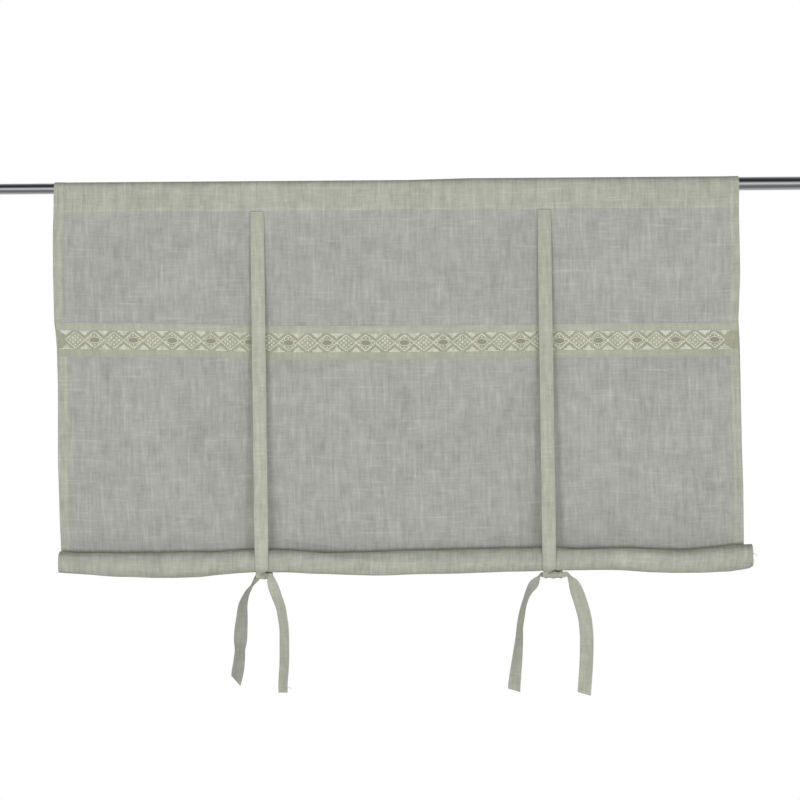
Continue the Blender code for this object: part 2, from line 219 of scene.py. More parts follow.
class Finish:
    """A material under construction, with its Principled shader."""

    def __init__(self, name, **constants):
        self.material = bpy.data.materials.new(name)
        self.material.use_nodes = True
        self.tree = self.material.node_tree
        self.shader = self.tree.nodes["Principled BSDF"]
        self.set(**constants)

    def node(self, kind, settings=None, sockets=None, output=0):
        return add_node(self.tree, kind, settings, sockets, output)

    def set(self, **values):
        """Set or link sockets of the shader; Base_Color is the socket Base Color."""
        for key, value in values.items():
            socket = self.shader.inputs[key.replace("_", " ")]
            if isinstance(value, Wire):
                self.tree.links.new(value.socket, socket)
            elif isinstance(value, tuple):
                socket.default_value = (*value, 1.0)
            else:
                socket.default_value = value
        return self

    def noise(self, source, scale, detail=2.0, roughness=0.5):
        """Noise over the piece's UV map or object space; scale is how fast it changes along each axis."""
        where = self.node("ShaderNodeTexCoord", output={"UV": 2, "Object": 3}[source])
        where = self.node("ShaderNodeMapping", None, {"Vector": where, "Scale": scale})
        sockets = {"Vector": where, "Scale": 1.0, "Detail": detail, "Roughness": roughness}
        return self.node("ShaderNodeTexNoise", None, sockets)

    def blend(self, factor, first, second, how="MIX"):
        """Mix two colours, each a wire or three numbers."""
        first, second = (c if isinstance(c, Wire) else (*c, 1.0) for c in (first, second))
        settings = {"data_type": "RGBA", "blend_type": how}
        return self.node("ShaderNodeMix", settings, {0: factor, 6: first, 7: second}, output=2)

    def tinted(self, colour, tint):
        return self.blend(1.0, colour, tint, "MULTIPLY")

    def bump(self, height, distance, strength=1.0):
        sockets = {"Height": height, "Distance": distance, "Strength": strength}
        return self.node("ShaderNodeBump", None, sockets)


# %% World and lamps
world = bpy.data.worlds.new("studio")
bpy.context.scene.world = world
world.use_nodes = True
sky = world.node_tree
background = sky.nodes["Background"]
is_camera, is_glossy, is_through = (add_node(sky, "ShaderNodeLightPath", output=k) for k in (0, 3, 6))
direction = add_node(sky, "ShaderNodeTexCoord", output=0)
depth, height = (add_node(sky, "ShaderNodeSeparateXYZ", None, {0: direction}, output=k) for k in (1, 2))
turn_up = height.math("ARCTAN2", 0 - depth) / (2 * math.pi) + 0.5
# levels met round the tube, starting from behind: 0.25 is the floor and 0.75 the ceiling
STUDIO = ((0.04, 1.0), (0.16, 0.62), (0.25, 0.36), (0.32, 0.20), (0.37, 0.20), (0.42, 0.34), (0.46, 0.70),
          (0.50, 0.95), (0.54, 0.52), (0.585, 0.14), (0.64, 0.02), (0.70, 0.05), (0.77, 0.15), (0.84, 0.40),
          (0.96, 1.0))
mirrored = add_node(sky, "ShaderNodeValToRGB", {"stops": STUDIO}, {0: turn_up})
# soft goods meet a level wall of light that is dimmer overhead
level = 0.69 - height.math("MAXIMUM", 0.0) * 0.55
seen = is_camera.math("MAXIMUM", is_through)
strength = level * (1 - is_glossy) + mirrored * is_glossy
strength = strength * (1 - seen) + seen
sky.links.new(strength.socket, background.inputs["Strength"])
background.inputs["Color"].default_value = (1, 1, 1, 1)


def lamp(name, place, power, size):
    """A square area lamp that faces the middle of the curtain and doesn't show in the rod."""
    data = bpy.data.lights.new(name, "AREA")
    data.energy, data.size = power, size
    obj = linked(name, data)
    obj.location = place
    obj.rotation_euler = (Vector((0, 0, -0.3)) - Vector(place)).to_track_quat("-Z", "Y").to_euler()
    obj.visible_glossy = obj.visible_camera = False


lamp("lamp_left", (-1.05, -3.15, -0.80), 25.5, 0.8)
lamp("lamp_right", (1.10, -3.10, -0.80), 22, 0.8)

# %% Floor
FLOOR_Z, FLOOR_HALF = -1.75, 2.2
floor_bm = bmesh.new()
bmesh.ops.create_grid(floor_bm, x_segments=1, y_segments=1, size=FLOOR_HALF)
bmesh.ops.translate(floor_bm, verts=floor_bm.verts, vec=(0, 0, FLOOR_Z))
floor_mesh = bpy.data.meshes.new("floor")
floor_bm.to_mesh(floor_mesh)
floor_bm.free()
floor = linked("floor", floor_mesh)
floor_mesh.materials.append(Finish("floor", Base_Color=(0.82, 0.82, 0.81), Roughness=0.9).material)
floor.visible_glossy = False
print("floor at", FLOOR_Z, "m")

# %% [markdown]
# ## Linen-look cloth
# The real cloth is a loose plain weave of slubby yarn: single yarns swell and thin along their length,
# which draws long upright streaks and shorter level ones. A photograph of cloth would repeat and couldn't
# be turned. Instead stretched noises stand for the swelling yarns, and two fine sine waves for the weave.
# Everything reads the UV map, which holds the flat cloth in metres, so the pattern bends with the folds.
# Where the cloth is doubled, in the pocket, the side hems and the roll, it is a touch lighter and greener:
# partly the denser cloth of two layers, partly painted light, as two layers let less light through than
# one.

# %% Finish of the cloth
CLOTH_COLOUR = (0.430, 0.437, 0.398)
DOUBLED_COLOUR = (0.452, 0.468, 0.392)
YARN = 0.0009


def woven(finish, colour, depth_of_streaks=1.0, yarn=YARN):
    """Give a finish the roughness and bump of slubby plain weave; returns u, v and the colour."""
    long_warp, long_weft = (finish.noise("UV", scale, 2, 0.55) for scale in ((380, 46, 1), (48, 380, 1)))
    thick_warp = finish.noise("UV", (170, 17, 1), 1)
    slub_warp, slub_weft = (finish.noise("UV", scale, 1).clamped(0.58, 0.74)
                            for scale in ((260, 12, 1), (14, 280, 1)))
    clouds = finish.noise("UV", (46, 44, 1), 3, 0.55)
    broad = finish.noise("UV", (11, 8, 1), 2)
    bend = finish.noise("UV", (90, 90, 1), 1) * 0.9
    where = finish.node("ShaderNodeTexCoord", output=2)
    u, v = (finish.node("ShaderNodeSeparateXYZ", None, {0: where}, output=k) for k in (0, 1))
    across, along = ((way * (2 * math.pi / yarn) + bend * 3.0).math("SINE") for way in (u, v))
    streaks = (long_warp - 0.5) * 0.58 + (long_weft - 0.5) * 0.44 + (thick_warp - 0.5) * 0.52
    streaks = streaks + (clouds - 0.5) * 0.62 + (broad - 0.5) * 0.34
    streaks = streaks + (slub_warp + slub_weft) * 0.20 - 0.03
    weave = across * along * 0.020
    factor = streaks * depth_of_streaks + weave + 0.5
    dark = tuple(c * 0.68 for c in colour)
    light = tuple(c * 1.32 for c in colour)
    shade = finish.blend(factor, dark, light)
    relief = (across + along) * 0.12 + long_warp * 0.9 + long_weft * 0.8
    finish.set(Roughness=0.92 - long_warp * 0.10, Normal=finish.bump(relief, 0.00030, 0.55))
    return u, v, shade


SOFT = {"Specular_IOR_Level": 0.25, "Sheen_Weight": 0.12, "Sheen_Roughness": 0.5}
cloth_finish = Finish("cloth", **SOFT)
u, v, shade = woven(cloth_finish, CLOTH_COLOUR)
cloth_finish.set(Base_Color=shade)
print("materials so far:", len(bpy.data.materials))

# %% [markdown]
# ## Making a piece
# Every new piece is a bmesh that becomes one object at the origin, with one finish, riding on one body of
# the frame. It could be moved into place instead, but the frame's own solids keep their place in their
# meshes, and pieces made the same way line up with them.


# %% Helpers for pieces
def piece(name, bm, finish, replaces=(), body=CLOTH_BODY):
    """Turn a bmesh into an object that rides on a body and stands for some of the frame's nodes."""
    mesh = bpy.data.meshes.new(name)
    bmesh.ops.recalc_face_normals(bm, faces=bm.faces)
    bm.to_mesh(mesh)
    bm.free()
    obj = linked(name, mesh)
    mesh.materials.append(finish.material)
    for face in mesh.polygons:
        face.use_smooth = True
    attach(obj, body)
    if replaces:
        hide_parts(*replaces)
    return obj


def travel(points):
    """Distance travelled along a polyline, at each of its points."""
    return np.concatenate(([0.0], np.cumsum([(b - a).length for a, b in zip(points, points[1:])])))


def placed_grid(columns, rows, place, flat):
    """A grid with a column and a row per entry, bent to shape by place(column, row).

    flat(column number, row number) is the point on the flat cloth in metres, kept in the UV map.
    """
    bm = bmesh.new()
    bmesh.ops.create_grid(bm, x_segments=len(columns) - 1, y_segments=len(rows) - 1, size=0.5)
    uv = bm.loops.layers.uv.new("flat")
    number = {}
    for vert in bm.verts:
        i = round((vert.co.x + 0.5) * (len(columns) - 1))
        j = round((vert.co.y + 0.5) * (len(rows) - 1))
        number[vert] = (i, j)
        vert.co = place(columns[i], rows[j])
    for face in bm.faces:
        for loop in face.loops:
            loop[uv].uv = flat(*number[loop.vert])
    return bm, number


def thicken(obj, thickness, thin_share=None, thick=(), even=True):
    """Give a sheet its thickness on both sides; vertices not in thick get thin_share of it."""
    solid = obj.modifiers.new("thickness", "SOLIDIFY")
    solid.thickness = thickness
    solid.offset = 0
    solid.use_even_offset = even
    if thin_share is not None:
        group = obj.vertex_groups.new(name="doubled")
        group.add(list(thick), 1.0, "REPLACE")
        solid.vertex_group = group.name
        solid.thickness_vertex_group = thin_share


# %% [markdown]
# ## The cloth: pocket, panel and roll
# All of it is one length of cloth: up the back of the pocket, over the rod, down the front, down the
# panel, behind the roll and inwards for nine turns. A simulation could hang it, but rolling nine turns
# tightly is slow and never comes out the same. A grid placed by a function of its row and column is
# exact, so the seam, the lace and the tapes meet it. The unevenness of hanging cloth comes from smooth
# noise: faint waves in the panel, puckers under the seam, folds beside the tapes and soft lumps in the
# roll.

# %% Hang of the cloth
TIES = ((-0.2045, -0.2005), (0.2157, 0.2185))     # x of each pair of tapes at the seam and at the roll
FOLD_FROM, FOLD_TO = Vector((-0.186, -0.5115)), Vector((-0.092, -0.5270))   # a slack fold beside the tapes


def wave(x, y, z):
    return noise.noise(Vector((x, y, z)))


def near_tie(x, reach):
    """1 at a pair of tapes, falling to 0 at reach to either side."""
    return max(step(reach - abs(x - x_roll), 0, reach * 0.55) for _, x_roll in TIES)


def slack_fold(x, z):
    """How far the slack fold above the roll stands forward."""
    p, along = Vector((x, z)) - FOLD_FROM, FOLD_TO - FOLD_FROM
    t = p.dot(along) / along.length_squared
    off = p.dot(Vector((-along.y, along.x)).normalized())
    body = step(t, -0.16, 0.06) * step(1.25 - t, 0, 0.45)
    ridge = 0.0034 * math.exp(-((off / 0.0046) ** 2))
    dip = 0.0010 * math.exp(-(((off + 0.010) / 0.005) ** 2))
    return body * (ridge - dip)


def panel_relief(x, z):
    """How far the panel stands forward of its plain place."""
    below = SEAM_Z - z
    free = step(below, 0.004, 0.10)
    broad = 0.00075 * wave(x * 5.0, 0.3, z * 3.2) + 0.00045 * wave(x * 13, 4.1, z * 5)
    drape = 0.00030 * wave(x * 34, 7.7, z * 6)
    pucker = 0.00030 * abs(wave(x * 95, 1.9, z * 9)) * step(below, 0, 0.003) * math.exp(-below / 0.016)
    lower = step(z + DROP, 0.10, 0.0)
    gather = 0.0012 * lower * near_tie(x, 0.06) * wave(x * 60, 2.2, z * 9)
    fit = 1 - 0.75 * max(near_tie(x, 0.016), 0)
    hem = 1 - 0.5 * step(abs(x), WIDTH / 2 - 0.03, WIDTH / 2)
    return (free * (broad + drape) * hem + gather * 0.5) * fit + pucker * fit + slack_fold(x, z)


# x in metres, then mm
TOP_SUNK = ((-0.5, 4), (-0.47, 5.6), (-0.44, 3.6), (-0.4, 1.2), (-0.37, 0), (-0.31, 0.4), (-0.27, 4),
            (-0.235, 2), (-0.17, 3), (-0.11, 5.8), (-0.075, 4.2), (-0.035, 1.4), (0, 0), (0.225, 0.4),
            (0.255, 5), (0.3, 6.4), (0.36, 6.4), (0.43, 5.2), (0.46, 3.2), (0.49, 0.4))
UNDER_SLACK = ((-0.5, 0), (-0.4, 1), (-0.29, 4), (-0.235, 0.6), (-0.15, 0.6), (0.1, 0), (0.26, 0.6),
               (0.367, 5.2), (0.43, 3), (0.484, 4), (0.512, 0))


def roll_relief(x, angle, t):
    """How far a turn of the roll stands out of its circle; its top is sunk and its underside slack."""
    c, s = math.cos(angle), math.sin(angle)
    slack = on_line(x, UNDER_SLACK) * max(0.0, -s) ** 3 * max(0.0, 1 - t / 2.5)
    sunk = on_line(x, TOP_SUNK) * max(0.0, s) ** 2 * max(0.0, 1 - t / TURNS)
    lumps = 0.0011 * wave(x * 9, 1.3 * c, 1.3 * s) + 0.0006 * wave(x * 28, 2.1 * c + 5, 2.1 * s)
    twist = 0.0007 * wave(x * 16 + 0.9 * c, 3.0 * s + 9, 0.4)
    free = (1 - near_tie(x, 0.030)) * step(WIDTH / 2 + 0.03 - abs(x), 0, 0.03)
    pinch = 0.0007 * near_tie(x, 0.020)
    fade = 1 - t / TURNS
    return (min(0.0009, (lumps + twist)) * free - pinch) * fade * step(t, 0.02, 0.3) + slack - sunk


def pocket_radius(x):
    """The pocket lies over the rod, and bridges the step between its two tubes in a long easy slope."""
    r = np.interp(x, (OVERLAP_FROM - 0.09, OVERLAP_FROM - 0.003), (INNER_R, OUTER_R))
    return float(r) + 1.2 * GAP + DOUBLE / 2


def pocket_point(u, kind, t):
    r = pocket_radius(edge_x(u, 0))
    reach = math.atan2(PLY, -SEAM_Z) + math.acos(r / math.hypot(PLY, SEAM_Z))
    side = 1 if kind == "back" else -1
    touch = Vector((0, side * r * math.sin(reach), -r * math.cos(reach)))
    seam = Vector((0, side * PLY, SEAM_Z))
    if kind == "back":
        p = seam.lerp(touch, t)
    elif kind == "front":
        p = touch.lerp(seam, t)
    else:
        angle = reach + t * 2 * (math.pi - reach)
        p = Vector((0, r * math.sin(angle), -r * math.cos(angle)))
    x = edge_x(u, p.z)
    if kind != "arc":
        p.y += side * 0.00035 * abs(wave(x * 60, 3.3, p.z * 20)) * math.sin(math.pi * t)
    return Vector((x, p.y, p.z))


def panel_point(u, z):
    x = edge_x(u, z)
    return Vector((x, panel_y(z) - panel_relief(x, z), z))


def cloth_point(u, row):
    """One point of the middle of the cloth; a roll row's t counts turns from the back of the roll."""
    kind, t = row
    if kind in ("back", "arc", "front"):
        return pocket_point(u, kind, t)
    centre = roll_z(edge_x(u, -DROP))
    if kind == "panel":
        return panel_point(u, SEAM_Z + t * (centre - SEAM_Z))
    angle = -2 * math.pi * t
    out = min(1.0, 2 * t)
    back_in = 0.004 * t / TURNS
    left = -WIDTH / 2 - (1 - out) * on_line(-1, LEFT_OUT) - out * (ROLL_LEFT_OUT - back_in)
    right = WIDTH / 2 + (1 - out) * on_line(-1, RIGHT_OUT) + out * (ROLL_RIGHT_OUT - back_in)
    left -= out * (0.0016 * wave(t * 2.3, 3.1, 0) + 0.0010 * wave(t * 9.7, 8.8, 0))
    right += 1.4 * out * (0.0016 * wave(t * 2.1, 0.7, 5.0) + 0.0010 * wave(t * 8.3, 2.4, 5.0))
    x = left + u * (right - left)
    r = ROLL_R - t * (ROLL_R - ROLL_CORE) / TURNS + roll_relief(x, angle, t)
    return Vector((x, r * math.cos(angle), centre + r * math.sin(angle)))


# %% Cloth mesh
hem_u = HEM / WIDTH
EDGE_COLUMNS = [0, 0.0015, 0.0075, hem_u - 0.0004, hem_u]
INNER_COLUMNS = list(np.linspace(hem_u + 0.006, 1 - hem_u - 0.006, 152))
COLUMNS = EDGE_COLUMNS + INNER_COLUMNS + [1 - c for c in reversed(EDGE_COLUMNS)]
ROWS = [("back", t) for t in (0, 0.06, 0.3, 0.65)] + [("arc", i / 20) for i in range(21)]
ROWS += [("front", t) for t in (0.25, 0.5, 0.75, 0.93, 1)]
panel_steps = (np.linspace(0.006, 0.03, 3), np.linspace(0.045, 0.90, 50), np.linspace(0.912, 0.99, 12))
ROWS += [("panel", float(t)) for t in np.concatenate(panel_steps)]
ROWS += [("roll", i / 40) for i in range(56)]
ROWS += [("roll", 1.4 + i / 15) for i in range(int((TURNS - 1.4) * 15) + 1)]

lengths = travel([cloth_point(0.5, row) for row in ROWS])
cloth_bm, cloth_number = placed_grid(COLUMNS, ROWS, cloth_point,
                                     lambda i, j: (COLUMNS[i] * WIDTH, lengths[j]))
doubled = [k for k, vert in enumerate(cloth_bm.verts)
           if cloth_number[vert][0] < 4 or cloth_number[vert][0] > len(COLUMNS) - 5]
curtain = piece("curtain", cloth_bm, cloth_finish, ("curtain_cloth",))
thicken(curtain, DOUBLE, CLOTH / DOUBLE, doubled)

# %% Doubled cloth and the pocket
pocket_rows = [k for k, (kind, _) in enumerate(ROWS) if kind in ("back", "arc", "front")]
POCKET_END = float(lengths[pocket_rows[-1]])
in_pocket = 1 - v.clamped(POCKET_END - 0.0006, POCKET_END + 0.0006)
in_hem = (1 - u.clamped(HEM - 0.0006, HEM + 0.0003)) + u.clamped(WIDTH - HEM - 0.0003, WIDTH - HEM + 0.0006)
rolled_from = float(lengths[[kind for kind, _ in ROWS].index("roll")])
in_roll = v.clamped(rolled_from, rolled_from + 0.03)
more = in_hem.math("MAXIMUM", in_pocket * 0.9).math("MAXIMUM", in_roll * 0.9)


def band(value, middle, half, soft):
    """1 inside a band of a coordinate, 0 outside it."""
    return 1 - (value - middle).math("ABSOLUTE").clamped(half - soft, half + soft)


# the tapes run on inside the pocket, and its turned-in edge lies along the seam; where they add layers the
# cloth is painted lighter, partly for the denser cloth and partly as painted light
tapes_inside = sum(band(u, WIDTH / 2 + x_seam, TAPE_HALF, 0.0012) for x_seam, _ in TIES)
turned_in = band(v, POCKET_END - 0.0022, 0.0018, 0.0006) + band(u, HEM - 0.0035, 0.0022, 0.0010)
turned_in = turned_in + band(u, WIDTH - HEM + 0.0035, 0.0022, 0.0010)
# this doubled tint is partly denser cloth and partly painted light: two layers let less light through than
# one
tint = tuple(b / a for a, b in zip(CLOTH_COLOUR, DOUBLED_COLOUR))
all_shades = cloth_finish.blend(more, shade, cloth_finish.tinted(shade, tint))
layers_painted_lighter = cloth_finish.tinted(all_shades, (1.07, 1.075, 1.06))
thicker = (tapes_inside * in_pocket * 0.8 + turned_in * 0.7).clamped(0.0, 1.0)
cloth_finish.set(Base_Color=cloth_finish.blend(thicker, all_shades, layers_painted_lighter))


# %% [markdown]
# ## Stitches
# Every seam is a line of machine stitches, a few millimetres long, in thread of the cloth's own colour.
# They could be painted with bump, but a seam seen at an angle shows its thread standing on the cloth. So
# each stitch is a small lozenge from a low sphere, laid along a line of points and half sunk in the
# cloth.

# %% Stitching
STITCH, STITCH_STEP, STITCH_R = 0.0024, 0.0032, 0.00026


def speckled(name, grain, dark, light, relief, **constants):
    """A finish whose colour runs from dark to light with a fine noise, which also stands out."""
    finish = Finish(name, **constants)
    speckle = finish.noise("Object", (grain, grain, grain))
    return finish.set(Base_Color=finish.blend(speckle, dark, light), Normal=finish.bump(speckle, relief))


thread_finish = speckled("sewing_thread", 1500, (0.38, 0.39, 0.32), (0.56, 0.57, 0.48), 0.0001,
                         Roughness=0.7, Sheen_Weight=0.2, Specular_IOR_Level=0.35)


def merge(target, source):
    """Add a bmesh to another. Operators slow down as a mesh grows, so small parts are made apart."""
    scratch = bpy.data.meshes.new("scratch")
    source.to_mesh(scratch)
    source.free()
    target.from_mesh(scratch)
    bpy.data.meshes.remove(scratch)


def lozenges(bm, places):
    """Add a small closed lozenge for each matrix, a few dozen at a time."""
    for first in range(0, len(places), 30):
        few = bmesh.new()
        for place in places[first:first + 30]:
            bmesh.ops.create_uvsphere(few, u_segments=6, v_segments=4, radius=1.0, matrix=place)
        merge(bm, few)


def stitches(bm, points, facings):
    """Lay stitches along a line on a surface that faces one way, or one way at each point."""
    facings = [facings] * len(points) if isinstance(facings, Vector) else facings
    travelled = travel(points)
    xyz, out = np.array([tuple(p) for p in points]), np.array([tuple(f) for f in facings])
    places = []
    for start in np.arange(STITCH_STEP * 0.3, travelled[-1] - STITCH, STITCH_STEP):
        a, b, front = (Vector([np.interp(s, travelled, column) for column in table.T])
                       for s, table in ((start, xyz), (start + STITCH, xyz), (start + STITCH / 2, out)))
        along = (b - a).normalized()
        front = (front - along * front.dot(along)).normalized()
        turned = Matrix((along, front.cross(along), front)).transposed().to_4x4()
        size = Matrix.Diagonal((STITCH / 2, STITCH_R, STITCH_R, 1))
        places.append(Matrix.Translation((a + b) / 2 + front * STITCH_R * 0.35) @ turned @ size)
    lozenges(bm, places)


FRONT = Vector((0, -1, 0))
seam_bm = bmesh.new()
across_u = np.linspace(0.002, 0.998, 220)
for row, face in ((("front", 0.985), 1), (("back", 0.015), -1)):
    out = FRONT * face
    stitches(seam_bm, [pocket_point(c, *row) + out * (CLOTH / 2) for c in across_u], out)
heights = np.linspace(SEAM_Z - 0.003, -DROP + ROLL_R + 0.004, 130)
for c in (hem_u - 0.0012, 1 - hem_u + 0.0012):
    for out in (FRONT, -FRONT):
        stitches(seam_bm, [panel_point(c, float(z)) + out * CLOTH for z in heights], out)
seams = piece("cloth_stitching", seam_bm, thread_finish)
print("stitch faces:", len(seams.data.polygons))

# %% [markdown]
# ## The lace band
# The band is a woven lace about 50 mm high: two plain margins, and between them an openwork of diamonds.
# In turn, a diamond holds an oval eye with a leaf in it or a small net with knobs. Zigzag trails cross
# between them, and satin triangles fill the corners. A pierced sheet alone would look like card. So the
# ground is a thin cloth with the eyes left open, and each trail, ring, leaf, net and satin corner is made
# of threads with real thickness. They are drawn flat as curves with a round section, made into a mesh,
# and only then bent on to the hanging cloth.

# %% Lace ground
LACE_TOP = LACE_HALF + MARGIN
lace_finish = Finish("lace_ground", Roughness=0.85, Specular_IOR_Level=0.3, Sheen_Weight=0.1)
_, net_v, net_shade = woven(lace_finish, (0.484, 0.497, 0.410), 0.7, 0.0007)
# in the openwork the ground is painted darker: partly a darker net, partly painted shade for the shade
# among the threads
openwork = band(net_v, LACE_TOP, LACE_HALF - 0.0003, 0.0005)
below = 1 - net_v.clamped(LACE_TOP - 0.012, LACE_TOP)
margin_shade = lace_finish.blend(below, net_shade, lace_finish.tinted(net_shade, (0.93, 0.94, 0.91)))
openwork_painted_shade = lace_finish.tinted(net_shade, (0.835, 0.835, 0.765))
lace_finish.set(Base_Color=lace_finish.blend(openwork, margin_shade, openwork_painted_shade))


def bend_to_cloth(x, up, forward):
    """Take a point of the flat band, x along it and up across it, on to the front of the hanging cloth."""
    z = lace_z(x) + up
    side = edge_x(0, z) if x < 0 else edge_x(1, z)
    x = x * abs(side) / (WIDTH / 2)
    over_hem = step(abs(x), WIDTH / 2 - HEM - 0.008, WIDTH / 2 - HEM - 0.001)
    in_front = CLOTH / 2 * (1 + over_hem) + GAP / 2 + LACE_CLOTH / 2
    return Vector((x, panel_y(z) - panel_relief(x, z) - in_front - forward, z))


def laid_on_cloth(bm):
    """Bend a flat bmesh on to the hanging cloth."""
    for vert in bm.verts:
        vert.co = bend_to_cloth(vert.co.x, vert.co.z, -vert.co.y)
    return bm


STEPS = 36
LACE_COLUMNS = [FIRST_EYE + REPEAT * (k / STEPS) - WIDTH / 2 for k in range(-STEPS, STEPS * 17)]
LACE_COLUMNS = [x for x in LACE_COLUMNS if abs(x) < WIDTH / 2 - 0.0025]
LACE_COLUMNS = [-WIDTH / 2 + 0.002] + LACE_COLUMNS + [WIDTH / 2 - 0.002]
LACE_ROWS = [-LACE_TOP, -LACE_TOP + 0.0003, -0.0165] + list(np.linspace(-LACE_HALF, LACE_HALF, 15))
LACE_ROWS += [0.0165, LACE_TOP - 0.0003, LACE_TOP]
ground_bm, _ = placed_grid(LACE_COLUMNS, LACE_ROWS, lambda x, up: Vector((x, 0, up)),
                           lambda i, j: (LACE_COLUMNS[i] + WIDTH / 2, LACE_ROWS[j] + LACE_TOP))


def from_feature(x, first):
    """Signed distance along the band to the nearest feature that repeats from first."""
    return (x + WIDTH / 2 - first + REPEAT / 2) % REPEAT - REPEAT / 2


EYE_W, EYE_H = 0.0056, 0.0036
holes = []
for face in ground_bm.faces:
    centre = face.calc_center_median()
    dx = from_feature(centre.x, FIRST_EYE)
    if (dx / EYE_W) ** 2 + (centre.z / EYE_H) ** 2 < 1:
        holes.append(face)
bmesh.ops.delete(ground_bm, geom=holes, context="FACES")
lace_ground = piece("lace_ground", laid_on_cloth(ground_bm), lace_finish, ("lace_band",))
thicken(lace_ground, LACE_CLOTH)
print("lace ground faces:", len(lace_ground.data.polygons), "eyes cut:", len(holes))

# %% Lace threads
yarn_finish = Finish("lace_thread", Roughness=0.55, Sheen_Weight=0.35, Sheen_Roughness=0.4,
                     Specular_IOR_Level=0.4)
twist = yarn_finish.noise("Object", (900, 900, 900), 3.0)
soil = yarn_finish.noise("Object", (60, 60, 60), 2.0)
patches = yarn_finish.noise("Object", (170, 170, 170), 2.0).clamped(0.32, 0.60)
worn = patches * 0.62 + twist * 0.26 + soil * 0.12
yarn_finish.set(Base_Color=yarn_finish.blend(worn, (0.58, 0.60, 0.48), (0.94, 0.945, 0.82)),
                Normal=yarn_finish.bump(twist, 0.0002))


def threads(name, lines, radius, sides_each_quarter=1):
    """A bmesh of round threads along flat lines of (x, up, forward) points."""
    curve = bpy.data.curves.new(name, "CURVE")
    curve.dimensions = "3D"
    curve.bevel_depth = radius
    curve.bevel_resolution = sides_each_quarter
    curve.use_fill_caps = True
    for line in lines:
        spline = curve.splines.new("POLY")
        spline.points.add(len(line) - 1)
        for point, (x, up, forward) in zip(spline.points, line):
            point.co = (x, -forward, up, 1)
    holder = linked(name, curve)
    mesh = bpy.data.meshes.new_from_object(holder.evaluated_get(bpy.context.evaluated_depsgraph_get()))
    bpy.data.objects.remove(holder)
    bpy.data.curves.remove(curve)
    bm = bmesh.new()
    bm.from_mesh(mesh)
    bpy.data.meshes.remove(mesh)
    return bm


ON_GROUND = 0.0004
CELL = REPEAT / 4            # half the width of a diamond
RING_W, RING_H = 0.0080, 0.0044
BEADED_W, BEADED_H = 0.0098, 0.0072      # the oval of beads round a ring
LEAF_W, LEAF_STEP = 0.0068, 0.00085
NET_W, NET_H = 0.0118, 0.0098
KNOBS_W, KNOBS_H, KNOB_X, KNOB_Z = 0.0130, 0.0102, 0.0036, 0.0033
TRAIL_R, NET_R, SATIN_R, RING_R, LEAF_R = 0.00030, 0.00020, 0.00058, 0.00055, 0.00046
BEAD, KNOB = (0.00125, 0.0006, 0.00115), (0.00175, 0.0008, 0.00160)      # half width, depth and height


def straight(a, b, parts=6, lift=ON_GROUND, weave=0.0):
    """A thread from a to b in parts, weaving over and under by weave."""
    return [(a[0] + (b[0] - a[0]) * k / parts, a[1] + (b[1] - a[1]) * k / parts,
             lift + weave * math.cos(math.pi * k)) for k in range(parts + 1)]


def ring(x, half_w, half_h, lift, parts=20):
    angles = [2 * math.pi * k / parts for k in range(parts + 1)]
    return [(x + half_w * math.cos(a), half_h * math.sin(a), lift) for a in angles]


trails, fine, satin, rings, leaves, beads, knobs = [], [], [], [], [], [], []
features = [(k, -WIDTH / 2 + FIRST_EYE + k * REPEAT / 2) for k in range(-1, 34)]
features = [(k, x) for k, x in features if x + CELL < WIDTH / 2 - 0.001]


def satin_corner(x, side):
    """Parallel satin stitches that fill the corner between two diamonds, from the margin inwards."""
    for n in range(6):
        up = side * (LACE_HALF - 0.0008 - n * 0.00122)
        half = 0.0086 * (1 - n / 5.7) * (1 + 0.45 * wave(x * 40, side * 3.1, n * 1.7))
        satin.append([(x - half, up, ON_GROUND), (x, up, ON_GROUND + 0.0004), (x + half, up, ON_GROUND)])


def trail(x, peak, x_end, up_end):
    """A zigzag trail: two fine cords with raised stitches set across them."""
    run = Vector((x_end - x, up_end - peak))
    across = Vector((-run.y, run.x)).normalized() * 0.0009
    for side in (-1, 1):
        a, b = Vector((x, peak)) + across * side, Vector((x_end, up_end)) + across * side
        trails.append(straight(a, b, 7, ON_GROUND, 0.0001))
    for n in range(6):
        middle = Vector((x, peak)) + run * ((n + 0.5) / 6)
        beads.append((middle.x, middle.y))


for k, x in features:
    for side in (-1, 1):
        for towards in (-1, 1):
            trail(x, side * (LACE_HALF - 0.0022), x + towards * CELL, 0.0)
        satin_corner(x + CELL, side)
        if k == -1:
            satin_corner(x - CELL + 0.001, side)
    if k % 2 == 0:
        rings.append(ring(x, RING_W, RING_H, ON_GROUND + 0.0001))
        for n in range(10):
            a = 2 * math.pi * (n + 0.5) / 10
            beads.append((x + BEADED_W * math.cos(a), BEADED_H * math.sin(a)))
        for n in range(-3, 4):
            reach, up = LEAF_W * math.sqrt(1 - (n / 3.9) ** 2), n * LEAF_STEP
            leaves.append(straight((x - reach, up), (x + reach, up), 8, 0.0001, 0.0001 * (-1) ** n))
    else:
        for n in range(-3, 4):
            for slope in (-1, 1):
                line = []
                for t in np.linspace(-1, 1, 11):
                    px = n * 0.0033 + t * 0.0075
                    pz = slope * t * 0.0066
                    if abs(px) / NET_W + abs(pz) / NET_H <= 1.0:
                        line.append((x + px, pz, ON_GROUND + slope * 0.0001))
                if len(line) > 1:
                    fine.append(line)
        for n in range(-4, 5):
            for m in range(-3, 4):
                px, pz = n * KNOB_X, m * KNOB_Z
                if (n + m) % 2 == 0 and abs(px) / KNOBS_W + abs(pz) / KNOBS_H <= 1.0:
                    knobs.append((x + px, pz))

